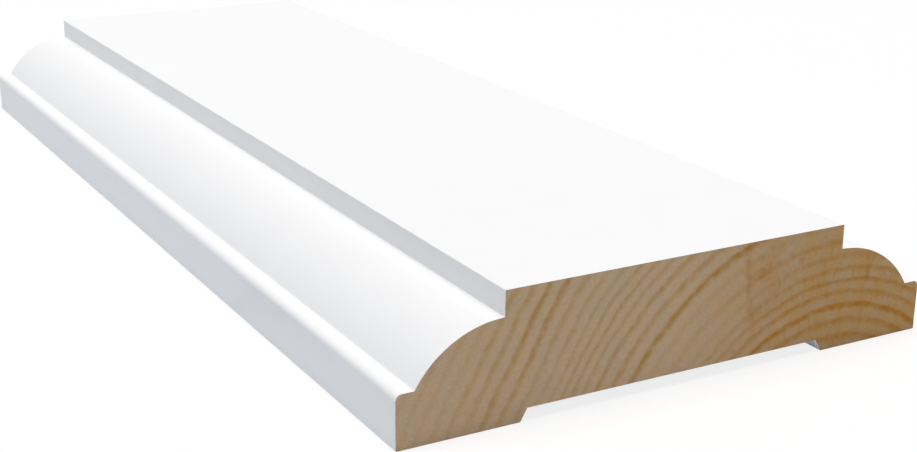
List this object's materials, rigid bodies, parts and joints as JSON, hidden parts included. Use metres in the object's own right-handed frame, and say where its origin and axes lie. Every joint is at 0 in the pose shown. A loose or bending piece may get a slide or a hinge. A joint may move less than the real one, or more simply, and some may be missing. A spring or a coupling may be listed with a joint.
{
  "type": "architrave moulding",
  "caption": "Short length of white-painted softwood architrave: raised flat, ovolo and small nosing down each edge, and a relieved back that stands on flat feet against a wall.",
  "frame": {"origin": "middle of the plane that the two feet of the back stand on", "axes": "+X across the section, +Y along the length, +Z from the back up to the raised flat"},
  "size_m": [0.095, 0.215, 0.0205],
  "materials": {
    "painted_pine": "planed pine with a smooth white paint on the face and edges and thinly on the back, and bare sawn end grain"
  },
  "bodies": {
    "root": {"architrave": "painted_pine"}
  },
  "joints": []
}
